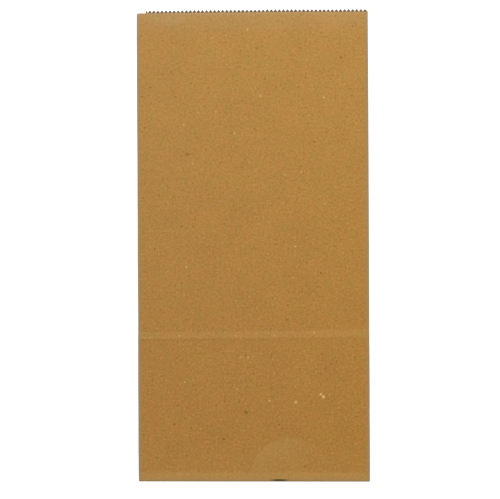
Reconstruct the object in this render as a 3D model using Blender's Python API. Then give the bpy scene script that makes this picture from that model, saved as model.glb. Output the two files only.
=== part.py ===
"""Brown paper lunch bag with gussets and a pasted flat bottom, folded flat as it comes from its pack.

The bag is one sheet. It is drawn here as a flat blank, creased where the real one is, folded by the
rules of that crease pattern, and then given its paper thickness. All sizes are in metres.

The blank has a coordinate s across it and t up it. The front wall is in its middle, a gusset lies on
each side of it, and the two halves of the back wall come last and meet at a pasted lap. The bottom
hangs below the front wall, at negative t. Folded, x runs across the bag, y from the bottom fold to
the mouth, and z up from the table. The plain front wall faces up and the bottom is folded under.
"""

import math

import bmesh
import bpy
from mathutils import Matrix, Vector

# Sizes of the bag
WIDTH = 0.1302
DEPTH = 0.0794
LENGTH = 0.2653
PAPER = 0.0001

# The toothed mouth: the back wall stands past the front one as a lip
LIP = 0.0014
LIP_LEFT_INSET = 0.005
LIP_RIGHT_INSET = 0.0012
TOOTH_PITCH = 0.00229
TOOTH_HEIGHT = 0.0013
PLAIN_END_DROP = 0.0003

# The pasted laps
FLAP_OVERLAP = 0.02
FLAP_INSET = 0.001
SEAM_LAP = 0.012
SEAM_OFFSET = 0.018

# How far apart the layers lie, middle of paper to middle of paper
LOW_SPACING = 0.0003
HIGH_SPACING = 0.00038
FRONT_BULGE = 0.0003
BACK_TUCK = 0.0002
TUCK_REACH = 0.003
TUCK_SIDE = 0.0006
PRESSED_REACH = 0.0007
PRESSED_LEAST = 0.2

# The step where the walls come down off the folded bottom
STEP_START = 0.0013
STEP_LENGTH = 0.0042
STEP_ROWS = 4

# The bottom fold opens sharply at first and then slowly
BOTTOM_FOLD_RADIUS = 0.0004
BOTTOM_FOLD_SHARE = 0.4
BOTTOM_FOLD_REACH = 0.0025

# How finely the sheet is divided
WALL_COLUMNS_LEFT = 5
WALL_COLUMNS_RIGHT = 3
WALL_ROWS = 9
GUSSET_COLUMNS = 2
FOLD_START = 0.3
SLANT_LINES = (0, -2.5, -0.75, 0.75, 2.5)
LAP_EDGE = 0.00008
SNAP = 1e-6

PAPER_COLOUR = (0.46, 0.235, 0.062, 1.0)
PAPER_ROUGHNESS = 0.86

# The layers, counted up from the table
BOTTOM, CORNER, TURNED_GUSSET, TURNED_BACK, BACK, BACK_GUSSET, FRONT_GUSSET, FRONT = range(8)

HALF_WIDTH = WIDTH / 2
HALF_DEPTH = DEPTH / 2
GUSSET_CREASE = HALF_WIDTH - HALF_DEPTH
GIRTH = 2 * (WIDTH + DEPTH)
FOLD_RADIUS = LOW_SPACING / 2
OUTER_RADIUS = 1.5 * LOW_SPACING
SLANT_RADIUS = 2.5 * LOW_SPACING
STEP_END = DEPTH + STEP_START + STEP_LENGTH
SEAM = GIRTH / 2 - SEAM_OFFSET
SEAM_START = STEP_END + LAP_EDGE
FLAP_LENGTH = (DEPTH + FLAP_OVERLAP) / 2
BOTTOM_LEVEL = 2.5 * PAPER
BACK_LEVEL = 1.5 * PAPER


def clear_scene():
    for found in list(bpy.data.objects):
        bpy.data.objects.remove(found)


def eased(share):
    """A step from 0 to 1 with flat ends."""
    share = min(max(share, 0.0), 1.0)
    return share * share * (3 - 2 * share)


def rounded(distance, radius):
    """How far a half-round fold is open, from 0 to 1, at this distance from its edge."""
    if distance >= radius:
        return 1.0
    rest = 1 - max(distance - SNAP, 0.0) / radius
    return math.sqrt(1 - rest * rest)


def bottom_opening(distance):
    """The same for the bottom fold, which is creased hard and springs open behind the crease."""
    sharp = BOTTOM_FOLD_SHARE * rounded(distance, BOTTOM_FOLD_RADIUS)
    return sharp + (1 - BOTTOM_FOLD_SHARE) * (1 - math.exp(-distance / BOTTOM_FOLD_REACH))


def distance_to_line(point, start, end):
    along = end - start
    share = (point - start).dot(along) / along.length_squared
    return (point - start - along * min(max(share, 0.0), 1.0)).length


def pinch(heights, low, high, share):
    """Draws the layers from low to high together about their middle."""
    middle = (heights[low] + heights[high]) / 2
    for layer in range(low, high + 1):
        heights[layer] = middle + (heights[layer] - middle) * share


def layer_heights(x, y):
    """The height of all eight layers at a place on the folded bag."""
    x = abs(x)
    stepped = eased((y - DEPTH - STEP_START) / STEP_LENGTH)
    heights = []
    for layer in range(8):
        low = BOTTOM_LEVEL + layer * LOW_SPACING
        high = BACK_LEVEL + (layer - BACK) * HIGH_SPACING
        heights.append(low + (high - low) * stepped if layer >= BACK else low)
    across = 1 - (x / HALF_WIDTH) ** 2
    heights[FRONT] += FRONT_BULGE * across * eased(y / DEPTH)

    # The crease where the gusset turns, and the two slanting creases that meet it
    place = Vector((x, y))
    meeting = Vector((GUSSET_CREASE, HALF_DEPTH))
    around = rounded((place - meeting).length, SLANT_RADIUS)
    slanted = rounded(distance_to_line(place, meeting, Vector((HALF_WIDTH, 0))), SLANT_RADIUS)
    middle = (heights[CORNER] + heights[FRONT_GUSSET]) / 2
    for layer in range(CORNER, FRONT_GUSSET + 1):
        share = slanted if layer in (CORNER, FRONT_GUSSET) else around
        heights[layer] = middle + (heights[layer] - middle) * share
    if y > HALF_DEPTH - SNAP:
        pinch(heights, BACK_GUSSET, FRONT_GUSSET, rounded(x - GUSSET_CREASE, FOLD_RADIUS))
        back_slant = distance_to_line(place, meeting, Vector((HALF_WIDTH, DEPTH)))
        pinch(heights, CORNER, TURNED_GUSSET, rounded(back_slant, FOLD_RADIUS))

    # The hidden fold half way up the bottom, one hairpin inside another
    middle = (heights[TURNED_GUSSET] + heights[BACK_GUSSET]) / 2
    outer = rounded(y - HALF_DEPTH, OUTER_RADIUS)
    inner = rounded(y - HALF_DEPTH - back_tuck(x), FOLD_RADIUS)
    for layer in (TURNED_GUSSET, BACK_GUSSET):
        heights[layer] = middle + (heights[layer] - middle) * outer
    for layer in (TURNED_BACK, BACK):
        heights[layer] = middle + (heights[layer] - middle) * inner

    # The long folds at the sides
    for low in (BOTTOM, TURNED_GUSSET, BACK, FRONT_GUSSET):
        pinch(heights, low, low + 1, rounded(HALF_WIDTH - x, FOLD_RADIUS))

    # The fold along the top of the bottom, and the bottom fold itself
    if y <= DEPTH + SNAP:
        pinch(heights, BOTTOM, TURNED_BACK, rounded(DEPTH - y, OUTER_RADIUS))
    pinch(heights, BOTTOM, FRONT, bottom_opening(y))
    return heights


def back_tuck(x):
    """How far the back wall's hidden fold lies inside the gussets' one, which it meets at the sides."""
    return BACK_TUCK * min((HALF_WIDTH - abs(x)) / TUCK_SIDE, 1.0)


def pressed(x, y):
    """The share of its thickness that the paper keeps: where four folds meet it is pressed thin."""
    knots = [(HALF_WIDTH, 0), (HALF_WIDTH, HALF_DEPTH), (HALF_WIDTH, DEPTH)]
    knots.append((GUSSET_CREASE, HALF_DEPTH))
    nearest = min(math.hypot(abs(x) - knot_x, y - knot_y) for knot_x, knot_y in knots)
    return PRESSED_LEAST + (1 - PRESSED_LEAST) * min(nearest / PRESSED_REACH, 1.0)


def folded(s, t):
    """Where a point of the blank comes to lie, and in which layer."""
    if t < 0:
        return s, -t, BOTTOM
    side = math.copysign(1, s)
    from_front = abs(s) - HALF_WIDTH
    from_back = DEPTH - from_front
    if from_front <= 0:
        return s, t, FRONT
    if from_back <= 0:
        x = side * (HALF_WIDTH + from_back)
        y, layer = (t, BACK) if t > HALF_DEPTH else (DEPTH - t, TURNED_BACK)
        near = max(1 - (y - HALF_DEPTH) / TUCK_REACH, 0.0)
        return x, y + near * back_tuck(x), layer
    if t <= from_front and t <= from_back:
        return side * (HALF_WIDTH - t), from_front, CORNER
    if from_front < HALF_DEPTH:
        return side * (HALF_WIDTH - from_front), t, FRONT_GUSSET
    x = side * (HALF_WIDTH - from_back)
    return (x, t, BACK_GUSSET) if t > HALF_DEPTH else (x, DEPTH - t, TURNED_GUSSET)


def even_steps(start, end, count):
    return [start + (end - start) * i / count for i in range(1, count)]


def rectangle(sheet, s_range, t_range):
    """A rectangle of the blank, as one face."""
    (s_low, s_high), (t_low, t_high) = s_range, t_range
    size = Matrix.Diagonal((s_high - s_low, t_high - t_low, 1, 1))
    place = Matrix.Translation(((s_low + s_high) / 2, (t_low + t_high) / 2, 0))
    bmesh.ops.create_grid(sheet, x_segments=1, y_segments=1, size=0.5, matrix=place @ size)


def crease(sheet, faces, point, direction):
    """Cuts these faces along a line, without parting them."""
    geometry = list({part for face in faces for part in (face, *face.edges, *face.verts)})
    normal = Vector((direction[1], -direction[0], 0))
    bmesh.ops.bisect_plane(
        sheet, geom=geometry, dist=SNAP, plane_co=Vector((*point, 0)), plane_no=normal
    )


def layer_of(face):
    centre = face.calc_center_median()
    return folded(centre.x, centre.y)[2]


def faces_in(sheet, *layers):
    return [face for face in sheet.faces if layer_of(face) in layers]


def draw_blank(sheet):
    """The flat blank with every crease, and with lines close beside them for the bends."""
    rectangle(sheet, (SEAM - GIRTH, SEAM), (0, LENGTH))
    rectangle(sheet, (-HALF_WIDTH, HALF_WIDTH), (-DEPTH, 0))

    bend = [FOLD_RADIUS * FOLD_START, FOLD_RADIUS]
    flat_start = 3 * FOLD_RADIUS
    wide_bend = bend + [flat_start, BOTTOM_FOLD_REACH / 2, 2 * BOTTOM_FOLD_REACH]

    # Lines up the walls, at the same places on the front, the back and the bottom
    wall_lines = [-HALF_WIDTH, HALF_WIDTH, SEAM_OFFSET]
    wall_lines += even_steps(-HALF_WIDTH, SEAM_OFFSET, WALL_COLUMNS_LEFT)
    wall_lines += even_steps(SEAM_OFFSET, HALF_WIDTH, WALL_COLUMNS_RIGHT)
    wall_lines += [side * (HALF_WIDTH - near) for side in (-1, 1) for near in [*bend, TUCK_SIDE]]
    back_lines = []
    for s in wall_lines:
        turned = GIRTH / 2 - s
        back_lines.append(turned if turned < SEAM else turned - GIRTH)

    # Lines along the gussets, which meet lines across the bottom
    gusset_lines = [0, DEPTH] + wide_bend + [DEPTH - near for near in [*bend, flat_start]]
    gusset_lines += [HALF_DEPTH - FOLD_RADIUS, HALF_DEPTH, HALF_DEPTH + FOLD_RADIUS]
    gusset_lines += even_steps(wide_bend[-1], HALF_DEPTH, GUSSET_COLUMNS)
    gusset_lines += even_steps(HALF_DEPTH, DEPTH, GUSSET_COLUMNS)

    for s in wall_lines + back_lines:
        crease(sheet, sheet.faces, (s, 0), (0, 1))
    for from_front in gusset_lines:
        for side in (-1, 1):
            crease(sheet, sheet.faces, (side * (HALF_WIDTH + from_front), 0), (0, 1))
        crease(sheet, faces_in(sheet, BOTTOM), (0, -from_front), (1, 0))

    # Lines round the tube
    rows = wide_bend + even_steps(wide_bend[-1], HALF_DEPTH, GUSSET_COLUMNS)
    rows += [HALF_DEPTH - flat_start, HALF_DEPTH, HALF_DEPTH + flat_start]
    rows += [HALF_DEPTH + FOLD_RADIUS, HALF_DEPTH - FOLD_RADIUS]
    rows += even_steps(HALF_DEPTH, DEPTH, GUSSET_COLUMNS) + [DEPTH]
    rows += [DEPTH + STEP_START, STEP_END] + even_steps(DEPTH + STEP_START, STEP_END, STEP_ROWS)
    rows += even_steps(STEP_END, LENGTH, WALL_ROWS)
    for t in rows:
        crease(sheet, [face for face in sheet.faces if layer_of(face) != BOTTOM], (0, t), (1, 0))

    # The slanting creases of the gussets, and lines beside them that stop short of the bottom's edge
    for side in (-1, 1):
        for away in SLANT_LINES:
            aside = away * LOW_SPACING * math.sqrt(2)
            start = (side * (HALF_WIDTH + aside), 0)
            crease(sheet, gusset_corner(sheet, side, False, away != 0), start, (side, 1))
        for away in (0, -FOLD_RADIUS, FOLD_RADIUS):
            start = (side * (HALF_WIDTH + DEPTH + away * math.sqrt(2)), 0)
            crease(sheet, gusset_corner(sheet, side, True, away != 0), start, (-side, 1))


def gusset_corner(sheet, side, at_back, short):
    """The faces of the square in a gusset's lower corner, at the front or the back."""
    found = []
    for face in sheet.faces:
        centre = face.calc_center_median()
        from_front = centre.x * side - HALF_WIDTH
        if not 0 < centre.y < HALF_DEPTH or not 0 < from_front < DEPTH:
            continue
        lowest = min(corner.co.y for corner in face.verts)
        if (from_front > HALF_DEPTH) == at_back and (lowest > SNAP or not short):
            found.append(face)
    return found


def inner_bottom(sheet):
    """The bottom's faces, without the ones along its folds, whose edges have to keep their corners."""
    found = []
    for face in faces_in(sheet, BOTTOM):
        centre = face.calc_center_median()
        near_end = min(-centre.y, DEPTH + centre.y)
        if min(near_end, HALF_WIDTH - abs(centre.x)) > FOLD_RADIUS:
            found.append(face)
    return found


def upper_back(sheet):
    return [face for face in faces_in(sheet, BACK) if face.calc_center_median().y > STEP_END]


def mark_laps(sheet):
    """Cuts the edges of the pasted laps into the sheet, each as two lines that make a low step."""
    for edge in (0, LAP_EDGE):
        for side in (-1, 1):
            reach = HALF_WIDTH - FLAP_INSET + edge
            crease(sheet, inner_bottom(sheet), (side * reach, 0), (side, 1))
            crease(sheet, inner_bottom(sheet), (side * (reach - DEPTH), 0), (-side, 1))
        for line in (DEPTH - FLAP_LENGTH - edge, FLAP_INSET - edge, DEPTH - FLAP_INSET + edge):
            crease(sheet, inner_bottom(sheet), (0, -line), (1, 0))
        aside = SEAM_LAP / 2 + edge
        for s in (SEAM - aside, SEAM - GIRTH + aside):
            crease(sheet, upper_back(sheet), (s, 0), (0, 1))
    crease(sheet, upper_back(sheet), (0, SEAM_START), (1, 0))


def plies_below(layer, x, y):
    """How many more plies of pasted paper lie under the sheet at a place."""
    if layer == BOTTOM:
        from_back = DEPTH - y
        outer = min(HALF_WIDTH - FLAP_INSET - from_back - abs(x), from_back - FLAP_INSET,
                    FLAP_LENGTH - from_back)
        inner = min(HALF_WIDTH - FLAP_INSET - y - abs(x), y - FLAP_INSET, FLAP_LENGTH - y)
        return 2 if outer > -SNAP else 1 if inner > -SNAP else 0
    if layer == BACK:
        inside = min(SEAM_LAP / 2 - abs(x - SEAM_OFFSET), y - SEAM_START)
        return 1 if inside > -SNAP else 0
    return 0


def mouth_height(x, layer):
    """How far up the blank the knife cut a wall, at a place across the flattened bag."""
    cut = TOOTH_HEIGHT * abs(2 * (x / TOOTH_PITCH % 1) - 1)
    if layer == BACK and LIP_LEFT_INSET - HALF_WIDTH <= x <= HALF_WIDTH - LIP_RIGHT_INSET:
        return LENGTH + LIP - cut
    if x < LIP_LEFT_INSET - HALF_WIDTH:
        return LENGTH - PLAIN_END_DROP
    return LENGTH - cut


def cut_mouth(sheet):
    """Gives the top edge of the blank its teeth, all plies cut at once by one toothed knife."""
    tooth_sides = math.ceil(HALF_WIDTH / TOOTH_PITCH * 2)
    places = [i * TOOTH_PITCH / 2 for i in range(-tooth_sides, tooth_sides + 1)]
    places += [LIP_LEFT_INSET - HALF_WIDTH, HALF_WIDTH - LIP_RIGHT_INSET]
    places += [LIP_LEFT_INSET - HALF_WIDTH - LAP_EDGE, HALF_WIDTH - LIP_RIGHT_INSET + LAP_EDGE]
    for x in places:
        if abs(x) >= HALF_WIDTH:
            continue
        side = math.copysign(1, x)
        columns = [x, GIRTH / 2 - x, -GIRTH / 2 - x]
        if abs(x) > GUSSET_CREASE:
            columns += [side * WIDTH - x, side * DEPTH + x]
        for s in columns:
            edges = [edge for edge in sheet.edges if on_mouth(edge)]
            geometry = edges + list({corner for edge in edges for corner in edge.verts})
            bmesh.ops.bisect_plane(
                sheet, geom=geometry, dist=SNAP, plane_co=(s, 0, 0), plane_no=(1, 0, 0)
            )
    for corner in sheet.verts:
        if corner.co.y > LENGTH - SNAP:
            x, _, layer = folded(corner.co.x, corner.co.y)
            corner.co.y = mouth_height(x, layer)


def on_mouth(edge):
    return min(corner.co.y for corner in edge.verts) > LENGTH - SNAP


def fold_up(sheet):
    """Moves each point of the blank to its folded place and joins the edges that meet."""
    heights = {}
    layers = {face: layer_of(face) for face in sheet.faces}
    for corner in sheet.verts:
        x, y, _ = folded(corner.co.x, corner.co.y)
        levels = layer_heights(x, y)
        own = {layers[face] for face in corner.link_faces}
        heights[corner] = (x, y, sum(levels[layer] for layer in own) / len(own))
    for corner, place in heights.items():
        corner.co = place
    for face, layer in layers.items():
        face.material_index = layer
    bmesh.ops.remove_doubles(sheet, verts=sheet.verts, dist=SNAP)


def thicken(sheet):
    """Makes the folded surface into paper: an outer and an inner skin, joined round the mouth."""
    sheet.normal_update()
    outer_places = {}
    for corner in sheet.verts:
        own = {face.material_index for face in corner.link_faces}
        below = max(plies_below(layer, corner.co.x, corner.co.y) for layer in own)
        half = corner.normal * PAPER / 2 * pressed(corner.co.x, corner.co.y)
        outer_places[corner] = (corner.co + half - Vector((0, 0, below * PAPER)), corner.co - half)
    copied = bmesh.ops.duplicate(sheet, geom=sheet.verts[:] + sheet.edges[:] + sheet.faces[:])
    inner_of = copied["vert_map"]
    inner_faces = [part for part in copied["geom"] if isinstance(part, bmesh.types.BMFace)]
    for corner, (outer, inner) in outer_places.items():
        inner_of[corner].co = inner
        corner.co = outer
    bmesh.ops.reverse_faces(sheet, faces=inner_faces)
    rims = [edge for edge in sheet.edges if edge.is_boundary]
    bmesh.ops.bridge_loops(sheet, edges=rims)
    for face in sheet.faces:
        face.material_index = 0
    bmesh.ops.triangulate(sheet, faces=sheet.faces)


def brown_paper():
    material = bpy.data.materials.new("brown_paper")
    material.use_nodes = True
    shader = material.node_tree.nodes["Principled BSDF"]
    shader.inputs["Base Color"].default_value = PAPER_COLOUR
    shader.inputs["Roughness"].default_value = PAPER_ROUGHNESS
    shader.inputs["Metallic"].default_value = 0.0
    return material


def paper_bag(collection):
    sheet = bmesh.new()
    draw_blank(sheet)
    mark_laps(sheet)
    cut_mouth(sheet)
    bmesh.ops.triangulate(sheet, faces=sheet.faces)
    fold_up(sheet)
    thicken(sheet)
    bmesh.ops.translate(sheet, verts=sheet.verts, vec=(0, -(LENGTH + LIP) / 2, 0))
    mesh = bpy.data.meshes.new("paper_bag")
    sheet.to_mesh(mesh)
    sheet.free()
    mesh.materials.append(brown_paper())
    bag = bpy.data.objects.new("paper_bag", mesh)
    collection.objects.link(bag)
    return bag


def main():
    clear_scene()
    collection = bpy.data.collections.new("lunch_bag")
    bpy.context.scene.collection.children.link(collection)
    paper_bag(collection)


main()
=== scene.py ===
"""Looks of a brown paper lunch bag, folded flat: its folded sheet, its paper and a plain studio.

The bag is one sheet, so its finer surface is folded here from a flat blank, as the real one is. The
blank has a coordinate s across it and t up it, with the front wall in its middle, a gusset on each
side, the halves of the back wall at the ends and the bottom below the front wall, at negative t. On
the folded bag, x runs across, y from the bottom fold to the mouth, and z up from the table.
"""

import math
import types

import bmesh
import bpy
from bpy.props import FloatProperty, FloatVectorProperty, PointerProperty
from mathutils import Matrix, Vector, noise


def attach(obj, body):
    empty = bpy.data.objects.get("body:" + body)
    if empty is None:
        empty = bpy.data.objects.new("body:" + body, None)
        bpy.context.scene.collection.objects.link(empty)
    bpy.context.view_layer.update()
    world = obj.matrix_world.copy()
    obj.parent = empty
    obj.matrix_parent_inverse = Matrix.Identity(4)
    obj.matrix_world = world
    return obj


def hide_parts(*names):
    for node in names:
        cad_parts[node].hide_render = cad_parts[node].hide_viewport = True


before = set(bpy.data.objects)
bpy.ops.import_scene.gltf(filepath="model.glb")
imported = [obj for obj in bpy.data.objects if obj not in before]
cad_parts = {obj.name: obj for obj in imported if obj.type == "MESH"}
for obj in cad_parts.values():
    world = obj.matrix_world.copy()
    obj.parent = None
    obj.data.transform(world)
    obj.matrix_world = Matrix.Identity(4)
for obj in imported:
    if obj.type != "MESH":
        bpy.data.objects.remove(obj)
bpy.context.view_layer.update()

bl_info = {
    "name": "Paper Lunch Bag",
    "version": (1, 0, 0),
    "blender": (4, 5, 0),
    "location": "3D View > Sidebar > Lunch Bag",
    "description": "Folds a brown paper lunch bag flat and sets its paper and its studio",
    "category": "Add Mesh",
}

BAG_NODE = "paper_bag"
MM = 0.001
SNAP = 1e-6

# The layers of the folded bag, counted up from the table
BOTTOM, CORNER, TURNED_GUSSET, TURNED_BACK, BACK, BACK_GUSSET, FRONT_GUSSET, FRONT = range(8)


def length_setting(name, description, default):
    return FloatProperty(name=name, description=description, default=default, unit="LENGTH")


def colour_setting(name, description, *default):
    return FloatVectorProperty(
        name=name, description=description, subtype="COLOR", size=4, default=(*default, 1)
    )


class LunchBagSizes(bpy.types.PropertyGroup):
    """Sizes of the sheet and of how it lies folded."""

    width: length_setting("Width", "Across the front wall", 0.1302)
    depth: length_setting("Depth", "Across a gusset", 0.0794)
    length: length_setting("Length", "Front wall, bottom fold to tooth tips", 0.2653)
    paper: length_setting("Paper", "Thickness of the paper", 0.0001)
    lip: length_setting("Lip", "How far the back wall stands past the front", 0.0014)
    tooth_phase: length_setting("Tooth Phase", "Where a tooth of the lip lies", -0.00055)
    lip_left: length_setting("Lip Left Inset", "Plain stretch at the left", 0.005)
    lip_right: length_setting("Lip Right Inset", "Plain stretch at the right", 0.0012)
    tooth_pitch: length_setting("Tooth Pitch", "Tooth to tooth", 0.00229)
    tooth_height: length_setting("Tooth Height", "Root to tip of a tooth", 0.0013)
    low_spacing: length_setting("Lower Spacing", "Layer to layer in the folded bottom", 0.0003)
    high_spacing: length_setting("Upper Spacing", "Layer to layer above the bottom", 0.00038)
    bulge: length_setting("Bulge", "Height that the front wall stands proud", 0.0003)
    step_start: length_setting("Step Start", "From the bottom's top fold to the step", 0.0013)
    step_length: length_setting("Step Length", "Length of the step in the walls", 0.0044)
    flap_overlap: length_setting("Flap Overlap", "How far the bottom flaps overlap", 0.02)
    seam_lap: length_setting("Seam Lap", "Width of the back lap", 0.012)
    seam_offset: length_setting("Seam Offset", "Back lap's place across the bag", 0.018)


class LunchBagPaper(bpy.types.PropertyGroup):
    """Colours of the recycled paper."""

    paper: colour_setting("Paper", "Mean colour", 0.428, 0.212, 0.047)
    warm: colour_setting("Warm Patch", "Colour of the ruddy patches", 0.443, 0.2055, 0.047)
    olive: colour_setting("Olive Patch", "Colour of the olive patches", 0.412, 0.217, 0.045)
    dense_pulp: colour_setting("Dense Pulp", "Colour of the dark grain", 0.29, 0.118, 0.006)
    thin_pulp: colour_setting("Thin Pulp", "Colour of the light grain", 0.57, 0.307, 0.088)
    # The dark fleck colour also paints the line of shade below the step
    dark_fleck_and_shade: colour_setting("Dark Fleck and Shade", "Colour of bark and ink flecks", 0.235, 0.1, 0.008)
    pale_fleck: colour_setting("Pale Fleck", "Colour of bleached flecks", 0.72, 0.47, 0.18)
    # Painted shade of the rounded side and bottom folds, with rub on them
    fold_shade_and_rub: colour_setting("Fold Shade and Rub", "Colour along the folds", 0.345, 0.24, 0.112)
    # Painted sheen on the step and on the bottom fold's bead, and the colour of the pale half round and the
    # paler bottom
    sheen_and_paling: colour_setting("Sheen and Paling", "Colour of the step and the bottom fold", 0.55, 0.37, 0.13)
    # Painted sheen along the mouth and on the patch by its left corner
    mouth_sheen: colour_setting("Mouth Sheen", "Colour along the mouth", 0.49, 0.355, 0.19)
    # Painted shadow where the bottom fold gapes, and along the bottom edge
    crease_shadow: colour_setting("Crease Shadow", "Colour where the bottom fold gapes", 0.06, 0.04, 0.01)
    # Painted shade on the back wall's inside, where the lip stands past the front
    lip_shade_colour: colour_setting("Lip Shade", "Colour of the toothed lip", 0.19, 0.125, 0.055)


class LunchBagStudio(bpy.types.PropertyGroup):
    """Light and camera of the plain studio."""

    key_power: FloatProperty(
        name="Key Light", description="Power of the lamp past the mouth", default=8.8, unit="POWER"
    )
    fill_power: FloatProperty(
        name="Fill Light", description="Power of the lamp below the bottom", default=4.2, unit="POWER"
    )
    sky: FloatProperty(name="Surround", description="Strength of the even light from all sides", default=0.40)
    camera_height: length_setting("Camera Height", "Above the table", 1.1)


def bag_plan(sizes):
    """The sizes as plain numbers, with what follows from them."""
    plan = types.SimpleNamespace(**{name: getattr(sizes, name) for name in sizes.__annotations__})
    plan.half_width = plan.width / 2
    plan.half_depth = plan.depth / 2
    plan.girth = 2 * (plan.width + plan.depth)
    plan.gusset_crease = plan.half_width - plan.half_depth
    plan.fold_radius = plan.low_spacing / 2
    plan.outer_radius = 1.5 * plan.low_spacing
    plan.slant_radius = 2.5 * plan.low_spacing
    plan.flap_length = (plan.depth + plan.flap_overlap) / 2
    plan.bottom_level = 2.5 * plan.paper
    plan.back_level = 1.5 * plan.paper
    plan.middle = (plan.length + plan.lip) / 2
    plan.seam = plan.girth / 2 - plan.seam_offset
    return plan


def eased(share):
    """A step from 0 to 1 with flat ends."""
    share = min(max(share, 0.0), 1.0)
    return share * share * (3 - 2 * share)


def hump(distance, spread):
    """A smooth hump of height 1."""
    return math.exp(-((distance / spread) ** 2))


def rounded(distance, radius):
    """How far a half-round fold is open, from 0 to 1, at this distance from its edge."""
    if distance >= radius:
        return 1.0
    rest = 1 - max(distance - SNAP, 0.0) / radius
    return math.sqrt(1 - rest * rest)


# The step where the walls come down off the folded bottom: it slants a little and widens to the right
STEP_SLANT = 0.0035
STEP_WIDENING = 0.006
STEP_EASE = 0.16
RIDGE_HEIGHT = 0.09 * MM
RIDGE_SPREAD = 1.6 * MM

# The bottom fold: creased hard, with a low bead behind the crease
BOTTOM_FOLD_RADIUS = 0.4 * MM
BOTTOM_FOLD_SHARE = 0.75
BOTTOM_FOLD_REACH = 1.1 * MM
BEAD_HEIGHT = 0.24 * MM
BEAD_PLACE = 2.4 * MM
BEAD_SPREAD = 2.1 * MM
BEAD_MIDDLE = 0.8
BEAD_TO_RIGHT = 0.3

# The paper's slow cockle, and the mouth, which bends down to the back wall. Near the sides and the bottom
# the relief is eased away
COCKLE_HEIGHT = 0.13 * MM
COCKLE_LENGTH = 34 * MM
RIPPLE_HEIGHT = 0.018 * MM
RIPPLE_LENGTH = 11 * MM
COCKLE_LIFT = 0.3
MOUTH_DROP = 0.16 * MM
MOUTH_REACH = 4.5 * MM
CORNER_LIFT = 0.35 * MM
CORNER_PLACE = (-44 * MM, 7 * MM)
CORNER_SPREAD = (16 * MM, 6 * MM)
SIDE_EASE = 6 * MM
BOTTOM_EASE = 20 * MM


def step_share(plan, x, y):
    """How far down the step the walls are, from 0 on the folded bottom to 1 past it."""
    start = plan.depth + plan.step_start + STEP_SLANT * x
    share = (y - start) / (plan.step_length + STEP_WIDENING * x)
    share = min(max(share, 0.0), 1.0)
    if share < STEP_EASE:
        rise = share * share / (2 * STEP_EASE)
    elif share > 1 - STEP_EASE:
        rise = 1 - STEP_EASE - (1 - share) ** 2 / (2 * STEP_EASE)
    else:
        rise = share - STEP_EASE / 2
    return rise / (1 - STEP_EASE)


def bottom_opening(distance):
    """How far the bottom fold is open: it is creased hard and springs open behind the crease."""
    sharp = BOTTOM_FOLD_SHARE * rounded(distance, BOTTOM_FOLD_RADIUS)
    return sharp + (1 - BOTTOM_FOLD_SHARE) * (1 - math.exp(-distance / BOTTOM_FOLD_REACH))


def cockle(x, y):
    """Slow waves in dry paper, and small ripples on them."""
    slow = noise.noise(Vector((x, y, 0.013)) / COCKLE_LENGTH)
    quick = noise.noise(Vector((x, y, 0.031)) / RIPPLE_LENGTH)
    return COCKLE_HEIGHT * slow + RIPPLE_HEIGHT * quick


def front_relief(plan, x, y):
    """What the front wall's surface adds to its even height."""
    across = 1 - (x / plan.half_width) ** 2
    inside = eased((plan.half_width - abs(x)) / SIDE_EASE)
    start = plan.depth + plan.step_start + STEP_SLANT * x
    ridge = RIDGE_HEIGHT * hump(min(y - start, 0.0), RIDGE_SPREAD) * eased((start + MM - y) / MM)
    bead = BEAD_HEIGHT * hump(y - BEAD_PLACE, BEAD_SPREAD)
    bead *= BEAD_MIDDLE + BEAD_TO_RIGHT * x / plan.half_width
    mouth = MOUTH_DROP * eased(1 - (plan.length - y) / MOUTH_REACH)
    corner_x, corner_y = CORNER_PLACE
    lift = hump(x - corner_x, CORNER_SPREAD[0]) * hump(plan.length - y - corner_y, CORNER_SPREAD[1])
    relief = plan.bulge * across * eased(y / plan.depth) + inside * (ridge + CORNER_LIFT * lift)
    relief += inside * eased(y / BOTTOM_EASE) * (cockle(x, y) + COCKLE_LIFT * COCKLE_HEIGHT)
    return relief + inside * (bead - mouth)


def distance_to_line(point, start, end):
    along = end - start
    share = (point - start).dot(along) / along.length_squared
    return (point - start - along * min(max(share, 0.0), 1.0)).length


def pinch(heights, low, high, share):
    """Draws the layers from low to high together about their middle."""
    middle = (heights[low] + heights[high]) / 2
    for layer in range(low, high + 1):
        heights[layer] = middle + (heights[layer] - middle) * share


# The back wall's hidden fold
BACK_TUCK = 0.2 * MM
TUCK_REACH = 3 * MM
TUCK_SIDE = 0.6 * MM


def back_tuck(plan, x):
    """How far the back wall's hidden fold lies inside the gussets' one, which it meets at the sides."""
    return BACK_TUCK * min((plan.half_width - abs(x)) / TUCK_SIDE, 1.0)


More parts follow.
